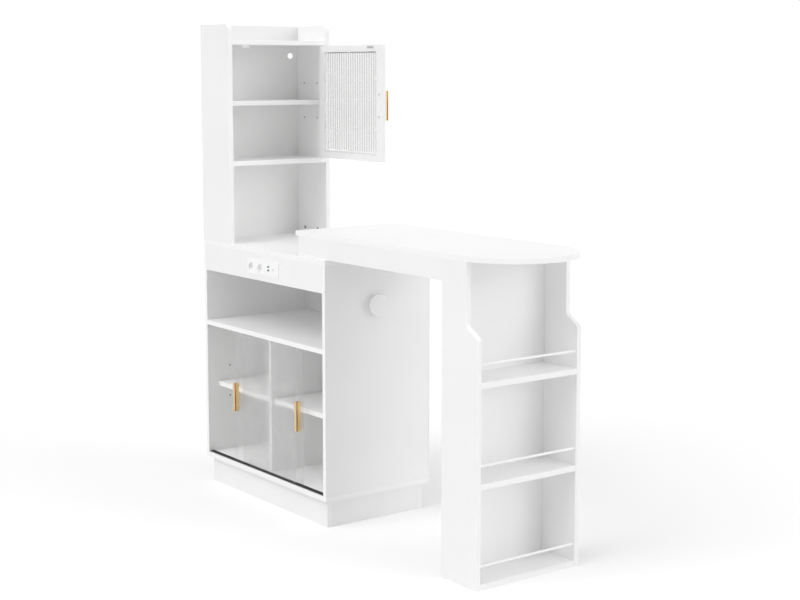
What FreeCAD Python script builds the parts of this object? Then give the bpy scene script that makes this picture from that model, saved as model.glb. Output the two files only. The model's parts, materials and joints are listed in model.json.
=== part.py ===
import FreeCAD
import Part

import math
import os

# A bar table: a cabinet with sliding panels and a tall hutch on one end, and a bar top that runs
# from the cabinet to a leg with open shelves.
# Lengths are millimetres. While the pieces are drawn, x = 0 is the cabinet's outer face on the table
# side, y = 0 is the front of the carcass and z = 0 is the floor. Each piece is moved as it is saved,
# so that the origin lies on the floor under the middle of the whole object.

# Boards, sheets and small gaps
board = 18.0
sheet = 3.0
eased_edge = 0.8
overrun = 2.0
press_gap = 0.05
slip_gap = 0.5
door_gap = 2.0

# Cabinet carcass
cabinet_width = 848.0
carcass_depth = 457.0
cabinet_height = 962.0
plinth_height = 99.0
plinth_inset = 20.0
lower_bay_height = 511.0
fascia_height = 100.0
divider_setback = 35.0
cabinet_left = -cabinet_width
cabinet_back = carcass_depth + sheet
bay_left = cabinet_left + board
bay_right = -board
bottom_top = plinth_height + board
middle_under = bottom_top + lower_bay_height
middle_top = middle_under + board
top_under = cabinet_height - board
fascia_under = top_under - fascia_height
divider_left = (cabinet_left - board) / 2
divider_right = divider_left + board

# Loose shelves in the cabinet, and the brackets that carry a loose shelf
shelf_rise = 262.0
shelf_setback = 47.0
front_hole_setback = 99.0
back_hole_setback = 395.0
hole_pitch = 61.0
hole_depth = 8.0
bracket_plate = 1.5
bracket_width = 12.0
bracket_leg = 11.0
bracket_height = 19.0
peg_radius = 2.5
peg_length = 7.0
peg_rise = 15.0
shelf_end_gap = bracket_plate + slip_gap
shelf_under = bottom_top + shelf_rise
hole_setbacks = (front_hole_setback, back_hole_setback)

# Tracks of the sliding panels
track_setback = 6.0
track_slot = 5.0
track_wall = 1.25
track_middle_wall = 1.5
track_floor = 1.0
bottom_track_height = 5.0
top_track_height = 12.0
track_depth = 2 * track_slot + 2 * track_wall + track_middle_wall
front_slot_middle = track_setback + track_wall + track_slot / 2
back_slot_middle = front_slot_middle + track_slot + track_middle_wall

# Fluted panels
pane = 4.0
flute_pitch = 15.0
flute_depth = 0.8
panel_overlap = 39.0
panel_lift_gap = 5.0
panel_handle_gap = 14.0
right_panel_open = 150.5
panel_width = (bay_right - bay_left - 2 * slip_gap + panel_overlap) / 2
panel_low = bottom_top + track_floor + slip_gap
top_track_base = middle_under + top_track_height
panel_high = top_track_base - track_floor - panel_lift_gap
right_panel_end = bay_right - slip_gap - right_panel_open

# Bar handles and their screws
handle_length = 110.0
handle_width = 14.0
handle_depth = 19.0
handle_corner = 1.5
handle_groove_width = 4.4
handle_groove_depth = 3.0
handle_groove_inset = 4.2
screw_spacing = 84.0
screw_radius = 2.0
screw_reach = 7.0
screw_head_radius = 4.0
screw_head = 2.0
panel_handle_inset = 22.0
panel_handle_rise = 258.0
panel_handle_z = bottom_top + panel_handle_rise
left_panel_face = front_slot_middle - pane / 2
right_panel_face = back_slot_middle - pane / 2
right_handle_x = right_panel_end - panel_handle_inset
left_panel_end = right_handle_x - handle_width / 2 - panel_handle_gap
left_panel_start = left_panel_end - panel_width
left_handle_x = left_panel_start + panel_handle_inset

# Power outlet in the fascia
outlet_width = 220.0
outlet_height = 56.0
outlet_plate_thickness = 2.5
outlet_corner = 6.0
outlet_middle_x = -409.0
outlet_rise = 50.0
housing_depth = 34.0
socket_radius = 20.0
socket_recess_radius = 18.0
socket_recess = 10.0
socket_floor = 3.5
socket_hole_radius = 2.6
socket_hole_spacing = 19.0
socket_drop = 5.0
first_socket_inset = 30.0
socket_spacing = 62.0
usb_width = 74.0
usb_height = 34.0
usb_depth = 15.0
usb_inset = 17.0
port_width = 13.0
port_height = 5.5
port_depth = 10.0
port_tongue_width = 10.5
port_tongue = 2.0
port_spacing = 13.0
port_inset = 52.5
port_low_drop = 5.0
lamp_radius = 3.5
lamp_recess = 1.0
lamp_inset = 19.5
outlet_left = outlet_middle_x - outlet_width / 2
outlet_right = outlet_left + outlet_width
outlet_middle_z = fascia_under + outlet_rise
outlet_front = -outlet_plate_thickness
socket_z = outlet_middle_z - socket_drop
socket_xs = (outlet_left + first_socket_inset, outlet_left + first_socket_inset + socket_spacing)
usb_right = outlet_right - usb_inset
usb_range = (usb_right - usb_width, usb_right)
outlet_opening_low = min(socket_z - socket_radius, outlet_middle_z - usb_height / 2) - slip_gap
outlet_opening_high = max(socket_z + socket_radius, outlet_middle_z + usb_height / 2) + slip_gap

# Round hanging knob on the cabinet side
knob_radius = 40.0
knob_thickness = 11.0
knob_standoff = 18.0
knob_stem_radius = 19.0
knob_corner = 2.0
knob_y = 217.5
knob_drop = 173.0
knob_dowel_radius = 4.0
knob_dowel_length = 12.0
knob_z = cabinet_height - knob_drop

# Hutch on the end of the cabinet
hutch_depth = 202.0
hutch_height = 828.0
hutch_corner = 24.0
gallery_height = 58.0
fixed_shelf_rise = 295.0
hutch_shelf_rise = 209.0
hutch_shelf_setback = 33.0
hutch_hole_pitch = 68.0
hutch_front_hole_setback = 62.0
hutch_back_hole_setback = 154.5
cable_hole_radius = 12.0
cable_hole_inset = 35.0
cable_hole_drop = 39.0
cam_radius = 6.0
cam_depth = 10.0
cam_rise = 26.0
cam_slot_width = 1.6
cam_slot_depth = 1.5
hutch_back = cabinet_left + sheet
hutch_front = hutch_back + hutch_depth
hutch_near = board
hutch_far = carcass_depth - board
hutch_top = cabinet_height + hutch_height
roof_top = hutch_top - gallery_height
roof_under = roof_top - board
fixed_under = cabinet_height + fixed_shelf_rise
fixed_top = fixed_under + board
hutch_shelf_under = fixed_top + hutch_shelf_rise
hutch_hole_setbacks = (hutch_front_hole_setback, hutch_back_hole_setback)

# Hutch door, drawn wide open on its pivots
pivot_face_inset = 3.0
pivot_side_inset = 9.0
pivot_radius = 2.0
pivot_reach = 10.0
pivot_collar_radius = 3.5
stile_width = 40.0
rail_width = 29.5
rebate = 5.5
clip_length = 15.0
clip_width = 10.0
clip_thickness = 1.6
clip_lap = 3.5
stile_clip_offset = 95.0
door_handle_inset = 15.0
door_handle_rise = 209.5
strike_length = 40.0
strike_height = 8.0
strike_thickness = 1.0
strike_inset = 70.0
strike_drop = 4.0
catch_width = 28.0
catch_height = 11.0
catch_depth = 17.0
door_width = hutch_far - hutch_near - 2 * door_gap
door_low = fixed_top + door_gap
door_high = roof_under - door_gap
pivot_x = hutch_front - pivot_face_inset
pivot_y = hutch_far - pivot_side_inset
door_left = pivot_x - pivot_side_inset + door_gap
door_right = door_left + door_width
door_outer = pivot_y + pivot_face_inset
door_inner = door_outer - board
door_handle_z = door_low + door_handle_rise

# Bar top, its aprons and its fixing screws
bar_length = 1144.0
bar_side_setback = 11.0
apron_height = 70.0
bar_overlap = 202.0
bar_end_lap = 19.0
table_screw_radius = 2.0
table_screw_head_radius = 4.0
table_screw_head = 2.5
table_screw_reach = 25.0
table_screw_inset = 11.5
table_screw_first = 46.0
table_screw_spacing = 91.0
bar_width = carcass_depth - 2 * bar_side_setback
bar_under = cabinet_height + apron_height
bar_height = bar_under + board
bar_left = -bar_overlap
bar_right = bar_left + bar_length
bar_front = bar_side_setback
bar_back = bar_front + bar_width
apron_left = bar_left + bar_end_lap

# Leg with open shelves
leg_start = 646.0
leg_depth = 176.0
leg_neck_depth = 121.0
shoulder_drop = 245.0
shoulder_radius = 20.0
shoulder_turn = math.radians(60.0)
rail_radius = 4.0
rail_rise = 57.0
rail_setback = 9.0
rail_seat = 6.0
top_rail_drop = 70.0
leg_front = leg_start + leg_depth
leg_neck_front = leg_start + leg_neck_depth
leg_near = bar_front + board
leg_far = bar_back - board
leg_inner = leg_start + board
shoulder_base = bar_under - shoulder_drop
leg_shelf_pitch = (shoulder_base - top_rail_drop - rail_rise - board) / 2

# The origin, under the middle of the whole object
front_reach = front_slot_middle - pane / 2 - handle_depth
origin = FreeCAD.Vector((cabinet_left + bar_right) / 2, (front_reach + cabinet_back) / 2, 0)

along_x = FreeCAD.Vector(1, 0, 0)
along_y = FreeCAD.Vector(0, 1, 0)
along_z = FreeCAD.Vector(0, 0, 1)


def point(x, y, z):
    return FreeCAD.Vector(x, y, z)


def block(x_range, y_range, z_range):
    """A box between the two ends of each range."""
    size = [high - low for low, high in (x_range, y_range, z_range)]
    return Part.makeBox(*size, point(x_range[0], y_range[0], z_range[0]))


def eased_block(x_range, y_range, z_range):
    """A board with all its edges slightly rounded."""
    solid = block(x_range, y_range, z_range)
    return solid.makeFillet(eased_edge, solid.Edges)


def rod(start, direction, radius, length):
    """A round bar that runs from its start point along the direction."""
    return Part.makeCylinder(radius, length, start, direction)


def centred(middle, width):
    """The range of the given width about its middle."""
    return middle - width / 2, middle + width / 2


def outline_edges(solid, direction, tolerance=1e-6):
    """The edges of a flat-sided solid that lie in its two broad faces, square to the direction."""
    chosen = []
    for edge in solid.Edges:
        start = edge.valueAt(edge.FirstParameter).dot(direction)
        halfway = edge.valueAt((edge.FirstParameter + edge.LastParameter) / 2).dot(direction)
        if abs(start - halfway) < tolerance:
            chosen.append(edge)
    return chosen


def eased_outline(solid, direction):
    """Round the edges round both broad faces of a cut-out board."""
    return solid.makeFillet(eased_edge, outline_edges(solid, direction))


def corner_edges(solid, direction):
    """The edges of a box that run along the direction."""
    broad = outline_edges(solid, direction)
    return [edge for edge in solid.Edges if not any(edge.isSame(other) for other in broad)]


def moved(shape, place):
    shape.translate(place)
    return shape


def line(start, end):
    return Part.LineSegment(start, end).toShape()


def arc(start, through, end):
    return Part.Arc(start, through, end).toShape()


def extruded(edges, direction):
    """The solid that a closed outline sweeps along the direction."""
    return Part.Face(Part.Wire(edges)).extrude(direction)


def plinth_front():
    y_range = (plinth_inset, plinth_inset + board)
    return eased_block((cabinet_left + plinth_inset, -plinth_inset), y_range, (0, plinth_height))


def plinth_back():
    y_range = (cabinet_back - plinth_inset - board, cabinet_back - plinth_inset)
    return eased_block((cabinet_left + plinth_inset, -plinth_inset), y_range, (0, plinth_height))


def plinth_side(x_start):
    y_range = (plinth_inset + board, cabinet_back - plinth_inset - board)
    return eased_block((x_start, x_start + board), y_range, (0, plinth_height))


def plinth_left():
    return plinth_side(cabinet_left + plinth_inset)


def plinth_right():
    return plinth_side(-plinth_inset - board)


def cabinet_bottom():
    return eased_block((cabinet_left, 0), (0, carcass_depth), (plinth_height, bottom_top))


def cabinet_top():
    solid = eased_block((cabinet_left, 0), (0, carcass_depth), (top_under, cabinet_height))
    for x, y in table_screw_places():
        hole = rod(point(x, y, top_under - overrun), along_z, table_screw_radius + press_gap,
                   board + 2 * overrun)
        solid = solid.cut(hole)
    return solid


def bracket_holes(face_x, towards, height):
    """The rows of bracket holes in an upright: the bracket's own and one spare above and below."""
    holes = []
    for setback in hole_setbacks:
        for step in (-1, 0, 1):
            start = point(face_x, setback, height + peg_rise + step * hole_pitch)
            holes.append(rod(start, towards * along_x, peg_radius + press_gap, hole_depth))
    return holes


def cabinet_side(x_range):
    return eased_block(x_range, (0, carcass_depth), (bottom_top, top_under))


def cabinet_side_left():
    solid = cabinet_side((cabinet_left, bay_left))
    return solid.cut(bracket_holes(bay_left, -1, shelf_under))


def cabinet_side_right():
    solid = cabinet_side((bay_right, 0))
    stem_hole = rod(point(-knob_dowel_length - press_gap, knob_y, knob_z), along_x,
                    knob_dowel_radius + press_gap, knob_dowel_length + overrun)
    return solid.cut(bracket_holes(bay_right, 1, shelf_under) + [stem_hole])


def cabinet_back_sheet():
    return block((cabinet_left, 0), (carcass_depth, cabinet_back), (plinth_height, cabinet_height))


def middle_shelf():
    """The shelf under the outlet, with a groove in its underside that takes the top track."""
    solid = eased_block((bay_left, bay_right), (0, carcass_depth), (middle_under, middle_top))
    groove = block((bay_left - overrun, bay_right + overrun),
                   (track_setback - press_gap, track_setback + track_depth + press_gap),
                   (middle_under - overrun, top_track_base + press_gap))
    return solid.cut(groove)


def divider():
    y_range = (divider_setback, carcass_depth)
    solid = eased_block((divider_left, divider_right), y_range, (bottom_top, middle_under))
    holes = bracket_holes(divider_left, 1, shelf_under) + bracket_holes(divider_right, -1, shelf_under)
    return solid.cut(holes)


def cabinet_shelf(x_range):
    low, high = x_range
    y_range = (shelf_setback, carcass_depth - slip_gap)
    return eased_block((low + shelf_end_gap, high - shelf_end_gap), y_range,
                       (shelf_under, shelf_under + board))


def cabinet_shelf_left():
    return cabinet_shelf((bay_left, divider_left))


def cabinet_shelf_right():
    return cabinet_shelf((divider_right, bay_right))


def shelf_bracket():
    """A bent plate with a peg: the plate stands against an upright at x = 0 and faces +x, the shelf
    lies on the leg at z = 0, and the peg goes into the upright."""
    half = bracket_width / 2
    plate = block((0, bracket_plate), (-half, half), (-bracket_plate, bracket_height - bracket_plate))
    leg = block((0, bracket_leg), (-half, half), (-bracket_plate, 0))
    peg = rod(point(0, 0, peg_rise), -along_x, peg_radius, peg_length)
    return plate.fuse([leg, peg]).removeSplitter()


def cabinet_shelf_brackets():
    brackets = []
    for face_x, half_turn in ((bay_left, 0), (divider_left, 180), (divider_right, 0), (bay_right, 180)):
        for setback in hole_setbacks:
            bracket = shelf_bracket()
            bracket.rotate(point(0, 0, 0), along_z, half_turn)
            bracket.translate(point(face_x, setback, shelf_under))
            brackets.append(bracket)
    return Part.makeCompound(brackets)


def track(z_floor, z_lip):
    """A double channel: a floor at the first height, with three walls that reach the second."""
    up = 1 if z_lip > z_floor else -1
    floor_face = z_floor + up * track_floor
    x_range = (bay_left, bay_right)
    floor = block(x_range, (track_setback, track_setback + track_depth), sorted((z_floor, floor_face)))
    walls = []
    y = track_setback
    for thickness in (track_wall, track_middle_wall, track_wall):
        walls.append(block(x_range, (y, y + thickness), sorted((floor_face, z_lip))))
        y += thickness + track_slot
    return floor.fuse(walls).removeSplitter()


def bottom_track():
    return track(bottom_top, bottom_top + bottom_track_height)


def top_track():
    return track(top_track_base, middle_under)


def fluted_pane(width, height):
    """A clear sheet with round ribs along z on its -y side. It starts at x = 0 and z = 0, and the
    crests of the ribs touch y = 0."""
    count = max(1, round(width / flute_pitch))
    rib = width / count
    corner = point(width, pane, 0)
    edges = []
    for index in range(count):
        start = point(index * rib, flute_depth, 0)
        end = point((index + 1) * rib, flute_depth, 0)
        edges.append(arc(start, point((index + 1 / 2) * rib, 0, 0), end))
    edges.append(line(point(width, flute_depth, 0), corner))
    edges.append(line(corner, point(0, pane, 0)))
    edges.append(line(point(0, pane, 0), point(0, flute_depth, 0)))
    return extruded(edges, height * along_z)


def screw_heights(middle):
    return middle - screw_spacing / 2, middle + screw_spacing / 2


def handle():
    """A solid bar handle with its flat back on y = 0, its middle at the origin and the bar at -y. The
    rims round its back stay sharp. A groove for the fingers runs along each side."""
    bar = block(centred(0, handle_width), (-handle_depth, 0), centred(0, handle_length))
    bar = bar.makeFillet(handle_corner, [edge for edge in bar.Edges if edge.BoundBox.YMin < -overrun])
    for side in (-1, 1):
        edge = side * handle_width / 2
        x_range = sorted((edge - side * handle_groove_depth, edge + side * overrun))
        bar = bar.cut(block(x_range, centred(-handle_depth + handle_groove_inset, handle_groove_width),
                            centred(0, handle_length + 2 * overrun)))
    for z in screw_heights(0):
        hole = rod(point(0, overrun, z), -along_y, screw_radius + press_gap,
                   screw_reach + press_gap + overrun)
        bar = bar.cut(hole)
    return bar


def handle_screws(wall):
    """The screws of a handle on a wall of the given thickness: the heads lie behind the wall."""
    screws = []
    for z in screw_heights(0):
        shank = rod(point(0, -screw_reach, z), along_y, screw_radius, screw_reach + wall)
        head = rod(point(0, wall, z), along_y, screw_head_radius, screw_head)
        screws.append(shank.fuse(head).removeSplitter())
    return Part.makeCompound(screws)


def screw_holes(x, y_range, middle_z):
    """Clearance holes for a handle's screws through a wall."""
    low, high = y_range
    return [rod(point(x, low - overrun, z), along_y, screw_radius + press_gap, high - low + 2 * overrun)
            for z in screw_heights(middle_z)]


def sliding_panel(x_start, y_face, handle_x):
    """A fluted panel with a flat pad and screw holes where its handle sits."""
    solid = fluted_pane(panel_width, panel_high - panel_low)
    solid.translate(point(x_start, y_face, panel_low))
    pad = block(centred(handle_x, handle_width), (y_face, y_face + pane / 2),
                centred(panel_handle_z, handle_length))
    solid = solid.fuse(pad).removeSplitter()
    return solid.cut(screw_holes(handle_x, (y_face, y_face + pane), panel_handle_z))


def sliding_panel_left():
    return sliding_panel(left_panel_start, left_panel_face, left_handle_x)


def sliding_panel_right():
    return sliding_panel(right_panel_end - panel_width, right_panel_face, right_handle_x)


def panel_handle_left():
    return moved(handle(), point(left_handle_x, left_panel_face, panel_handle_z))


def panel_handle_right():
    return moved(handle(), point(right_handle_x, right_panel_face, panel_handle_z))


def panel_screws_left():
    return moved(handle_screws(pane), point(left_handle_x, left_panel_face, panel_handle_z))


def panel_screws_right():
    return moved(handle_screws(pane), point(right_handle_x, right_panel_face, panel_handle_z))


def fascia():
    solid = eased_block((bay_left, bay_right), (0, board), (fascia_under, top_under))
    opening = block((socket_xs[0] - socket_radius - slip_gap, usb_right + slip_gap),
                    (-overrun, board + overrun), (outlet_opening_low, outlet_opening_high))
    return solid.cut(opening)


def outlet_plate():
    """The thin rounded front plate, with round holes for the sockets and one for the usb module."""
    x_range = (outlet_left, outlet_right)
    plate = block(x_range, (outlet_front, 0), centred(outlet_middle_z, outlet_height))
    plate = plate.makeFillet(outlet_corner, corner_edges(plate, along_y))
    cuts = [rod(point(x, outlet_front - overrun, socket_z), along_y, socket_radius + press_gap,
                outlet_plate_thickness + 2 * overrun) for x in socket_xs]
    usb_low, usb_high = usb_range
    cuts.append(block((usb_low - press_gap, usb_high + press_gap), (outlet_front - overrun, overrun),
                      centred(outlet_middle_z, usb_height + 2 * press_gap)))
    return plate.cut(cuts)


def outlet_housing():
    """The closed box behind the fascia that holds the wiring. It laps the opening on all sides."""
    x_range = centred(outlet_middle_x, outlet_width)
    z_range = centred(outlet_middle_z, outlet_height)
    return eased_block(x_range, (board, board + housing_depth), z_range)


def socket_insert(x):
    """One round socket: a cup with two pin holes in its floor, flush with the plate."""
    start = point(x, outlet_front, socket_z)
    cup = rod(start, along_y, socket_radius, socket_recess + socket_floor)
    recess = rod(start, along_y, socket_recess_radius, socket_recess)
    holes = [rod(point(x + side * socket_hole_spacing / 2, 0, socket_z), along_y, socket_hole_radius,
                 socket_recess + socket_floor + overrun) for side in (-1, 1)]
    return cup.cut([recess] + holes)


def socket_inserts():
    return Part.makeCompound([socket_insert(x) for x in socket_xs])


def usb_module():
    """The insert with two charging ports, one above the other, and a small lamp window. Each port is
    a slot with a tongue in its middle."""
    port_x = usb_right - port_inset
    port_back = outlet_front + port_depth
    solid = block(usb_range, (outlet_front, outlet_front + usb_depth),
                  centred(outlet_middle_z, usb_height))
    lamp = rod(point(usb_right - lamp_inset, outlet_front - overrun, outlet_middle_z), along_y,
               lamp_radius, lamp_recess + overrun)
    cuts = [lamp]
    tongues = []
    for port_z in (outlet_middle_z - port_low_drop, outlet_middle_z - port_low_drop + port_spacing):
        cuts.append(block(centred(port_x, port_width), (outlet_front - overrun, port_back),
                          centred(port_z, port_height)))
        tongues.append(block(centred(port_x, port_tongue_width),
                             (outlet_front + lamp_recess, port_back + overrun),
                             centred(port_z, port_tongue)))
    return solid.cut(cuts).fuse(tongues).removeSplitter()


def knob_disc():
    disc = rod(point(knob_standoff, knob_y, knob_z), along_x, knob_radius, knob_thickness)
    return disc.makeFillet(knob_corner, outline_edges(disc, along_x))


def knob_stem():
    stem = rod(point(0, knob_y, knob_z), along_x, knob_stem_radius, knob_standoff)
    dowel = rod(point(-knob_dowel_length, knob_y, knob_z), along_x, knob_dowel_radius, knob_dowel_length)
    return stem.fuse(dowel).removeSplitter()


def hutch_side(y_range):
    """An upright of the hutch: a board whose top front corner is rounded."""
    low, high = y_range
    bevel = hutch_corner * (1 - math.sqrt(1 / 2))
    corners = {
        "low_back": point(hutch_back, low, cabinet_height),
        "low_front": point(hutch_front, low, cabinet_height),
        "arc_start": point(hutch_front, low, hutch_top - hutch_corner),
        "arc_middle": point(hutch_front - bevel, low, hutch_top - bevel),
        "arc_end": point(hutch_front - hutch_corner, low, hutch_top),
        "top_back": point(hutch_back, low, hutch_top),
    }
    edges = [
        line(corners["low_back"], corners["low_front"]),
        line(corners["low_front"], corners["arc_start"]),
        arc(corners["arc_start"], corners["arc_middle"], corners["arc_end"]),
        line(corners["arc_end"], corners["top_back"]),
        line(corners["top_back"], corners["low_back"]),
    ]
    return eased_outline(extruded(edges, (high - low) * along_y), along_y)


def hutch_holes(face_y, towards):
    """Bracket holes and cam holes in the inner face of a hutch side."""
    holes = []
    for setback in hutch_hole_setbacks:
        x = hutch_front - setback
        for step in (-1, 0, 1):
            start = point(x, face_y, hutch_shelf_under + peg_rise + step * hutch_hole_pitch)
            holes.append(rod(start, towards * along_y, peg_radius + press_gap, hole_depth))
        start = point(x, face_y, cabinet_height + cam_rise)
        holes.append(rod(start, towards * along_y, cam_radius + press_gap, cam_depth + press_gap))
    return holes


def hutch_side_near():
    return hutch_side((0, hutch_near)).cut(hutch_holes(hutch_near, -1))


def hutch_side_far():
    return hutch_side((hutch_far, carcass_depth)).cut(hutch_holes(hutch_far, 1))


def hutch_cams():
    """The cam locks that hold the hutch sides down: discs with a driver slot, flush in the boards."""
    cams = []
    for setback in hutch_hole_setbacks:
        for face_y, towards in ((hutch_near, -1), (hutch_far, 1)):
            start = point(hutch_front - setback, face_y, cabinet_height + cam_rise)
            cam = rod(start, towards * along_y, cam_radius, cam_depth)
            slot_y = sorted((face_y - towards * overrun, face_y + towards * cam_slot_depth))
            slot = block(centred(hutch_front - setback, 2 * cam_radius + overrun), slot_y,
                         centred(cabinet_height + cam_rise, cam_slot_width))
            cams.append(cam.cut(slot))
    return Part.makeCompound(cams)


def hutch_back_sheet():
    solid = block((cabinet_left, hutch_back), (0, carcass_depth), (cabinet_height, hutch_top))
    hole = rod(point(cabinet_left - overrun, hutch_far - cable_hole_inset, roof_under - cable_hole_drop),
               along_x, cable_hole_radius, sheet + 2 * overrun)
    return solid.cut(hole)


def pivot_hole(z_middle):
    """A hole for one end of a pivot pin, in the board above or below the door."""
    return rod(point(pivot_x, pivot_y, z_middle - pivot_reach - press_gap), along_z,
               pivot_radius + press_gap, 2 * (pivot_reach + press_gap))


def hutch_roof():
    solid = eased_block((hutch_back, hutch_front), (hutch_near, hutch_far), (roof_under, roof_top))
    return solid.cut(pivot_hole(roof_under))


def hutch_fixed_shelf():
    solid = eased_block((hutch_back, hutch_front), (hutch_near, hutch_far), (fixed_under, fixed_top))
    return solid.cut(pivot_hole(fixed_top))


def hutch_shelf():
    x_range = (hutch_back + slip_gap, hutch_front - hutch_shelf_setback)
    y_range = (hutch_near + shelf_end_gap, hutch_far - shelf_end_gap)
    return eased_block(x_range, y_range, (hutch_shelf_under, hutch_shelf_under + board))


def hutch_shelf_brackets():
    brackets = []
    for face_y, turn in ((hutch_near, 90), (hutch_far, -90)):
        for setback in hutch_hole_setbacks:
            bracket = shelf_bracket()
            bracket.rotate(point(0, 0, 0), along_z, turn)
            bracket.translate(point(hutch_front - setback, face_y, hutch_shelf_under))
            brackets.append(bracket)
    return Part.makeCompound(brackets)


def magnetic_catch():
    """The catch under the roof, just behind the strike plate of the closed door."""
    front = hutch_front - board - strike_thickness - slip_gap
    middle = hutch_near + door_gap + strike_inset
    return eased_block((front - catch_depth, front), centred(middle, catch_width),
                       (roof_under - catch_height, roof_under))


def door_pivot_pins():
    """Pins with a collar: one half is pressed into the board, the other turns in the door."""
    pins = []
    for board_face, towards in ((roof_under, -1), (fixed_top, 1)):
        pin = rod(point(pivot_x, pivot_y, board_face - pivot_reach), along_z, pivot_radius,
                  2 * pivot_reach)
        collar = rod(point(pivot_x, pivot_y, board_face), towards * along_z, pivot_collar_radius,
                     door_gap - slip_gap)
        pins.append(pin.fuse(collar).removeSplitter())
    return Part.makeCompound(pins)


def door_stile(x_range, rebate_range):
    """An upright of the door frame, with the rebate for the pane in its inner face."""
    solid = eased_block(x_range, (door_inner, door_outer), (door_low, door_high))
    pocket = block(rebate_range, (door_inner - overrun, door_inner + pane),
                   (door_low + rail_width - rebate, door_high - rail_width + rebate))
    return solid.cut(pocket)


def door_stile_hinge():
    edge = door_left + stile_width
    solid = door_stile((door_left, edge), (edge - rebate, edge + overrun))
    return solid.cut([pivot_hole(roof_under), pivot_hole(fixed_top)])


def door_stile_free():
    edge = door_right - stile_width
    solid = door_stile((edge, door_right), (edge - overrun, edge + rebate))
    return solid.cut(screw_holes(door_right - door_handle_inset, (door_inner, door_outer), door_handle_z))


def door_rail(z_range, rebate_range):
    """A cross piece of the door frame, with the rebate for the pane in its inner face."""
    x_range = (door_left + stile_width, door_right - stile_width)
    solid = eased_block(x_range, (door_inner, door_outer), z_range)
    pocket = block((x_range[0] - overrun, x_range[1] + overrun),
                   (door_inner - overrun, door_inner + pane), rebate_range)
    return solid.cut(pocket)


def door_rail_top():
    edge = door_high - rail_width
    return door_rail((edge, door_high), (edge - overrun, edge + rebate))


def door_rail_bottom():
    edge = door_low + rail_width
    return door_rail((door_low, edge), (edge - rebate, edge + overrun))


def door_pane():
    """The fluted pane in the rebate, its flat side flush with the inner face of the frame."""
    width = door_width - 2 * (stile_width - rebate + slip_gap)
    height = door_high - door_low - 2 * (rail_width - rebate + slip_gap)
    solid = fluted_pane(width, height)
    solid.rotate(point(0, 0, 0), along_z, 180)
    right = door_right - stile_width + rebate - slip_gap
    return moved(solid, point(right, door_inner + pane, door_low + rail_width - rebate + slip_gap))


def pane_clips():
    """Flat clips on the inner face that hold the pane: one on each rail and two on each stile."""
    y_range = (door_inner - clip_thickness, door_inner)
    middle_x = (door_left + door_right) / 2
    middle_z = (door_low + door_high) / 2
    clips = []
    for edge, outwards in ((door_low + rail_width - rebate, -1), (door_high - rail_width + rebate, 1)):
        z_range = sorted((edge - outwards * clip_lap, edge + outwards * (clip_width - clip_lap)))
        clips.append(eased_clip(centred(middle_x, clip_length), y_range, z_range))
    for edge, outwards in ((door_left + stile_width - rebate, -1), (door_right - stile_width + rebate, 1)):
        x_range = sorted((edge - outwards * clip_lap, edge + outwards * (clip_width - clip_lap)))
        for step in (-1, 1):
            z_range = centred(middle_z + step * stile_clip_offset, clip_length)
            clips.append(eased_clip(x_range, y_range, z_range))
    return Part.makeCompound(clips)


def eased_clip(x_range, y_range, z_range):
    """A small plate with its corners rounded off."""
    solid = block(x_range, y_range, z_range)
    return solid.makeFillet(clip_thickness, corner_edges(solid, along_y))


def on_door(shape):
    """Turn a piece that faces -y and set it on the outer face of the open door."""
    shape.rotate(point(0, 0, 0), along_z, 180)
    return moved(shape, point(door_right - door_handle_inset, door_outer, door_handle_z))


def door_handle():
    return on_door(handle())


def door_handle_screws():
    return on_door(handle_screws(board))


def strike_plate():
    """The thin steel plate that the catch holds, near the free top corner of the door."""
    high = door_high - strike_drop
    return block(centred(door_right - strike_inset, strike_length),
                 (door_inner - strike_thickness, door_inner), (high - strike_height, high))


def bar_top():
    """The bar top: square at the cabinet end and a half round at the free end."""
    radius = bar_width / 2
    middle_y = bar_front + radius
    straight_end = bar_right - radius
    edges = [
        line(point(bar_left, bar_front, bar_under), point(straight_end, bar_front, bar_under)),
        arc(point(straight_end, bar_front, bar_under), point(bar_right, middle_y, bar_under),
            point(straight_end, bar_back, bar_under)),
        line(point(straight_end, bar_back, bar_under), point(bar_left, bar_back, bar_under)),
        line(point(bar_left, bar_back, bar_under), point(bar_left, bar_front, bar_under)),
    ]
    return eased_outline(extruded(edges, board * along_z), along_z)


def table_screw_places():
    """The x and y of each screw that holds an apron to the cabinet top."""
    places = []
    for y in (bar_front + table_screw_inset, bar_back - table_screw_inset):
        for step in (0, 1):
            places.append((-table_screw_first - step * table_screw_spacing, y))
    return places


def apron(y_range):
    solid = eased_block((apron_left, leg_start), y_range, (cabinet_height, bar_under))
    for x, y in table_screw_places():
        if y_range[0] < y < y_range[1]:
            hole = rod(point(x, y, cabinet_height - overrun), along_z, table_screw_radius + press_gap,
                       table_screw_reach + press_gap + overrun)
            solid = solid.cut(hole)
    return solid


def apron_front():
    return apron((bar_front, leg_near))


def apron_back():
    return apron((leg_far, bar_back))


def apron_end():
    return eased_block((apron_left, apron_left + board), (leg_near, leg_far), (cabinet_height, bar_under))


def table_screws():
    """The screws that go up through the cabinet top into the aprons."""
    screws = []
    for x, y in table_screw_places():
        shank = rod(point(x, y, top_under), along_z, table_screw_radius, board + table_screw_reach)
        head = rod(point(x, y, top_under - table_screw_head), along_z, table_screw_head_radius,
                   table_screw_head)
        screws.append(shank.fuse(head).removeSplitter())
    return Part.makeCompound(screws)


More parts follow.
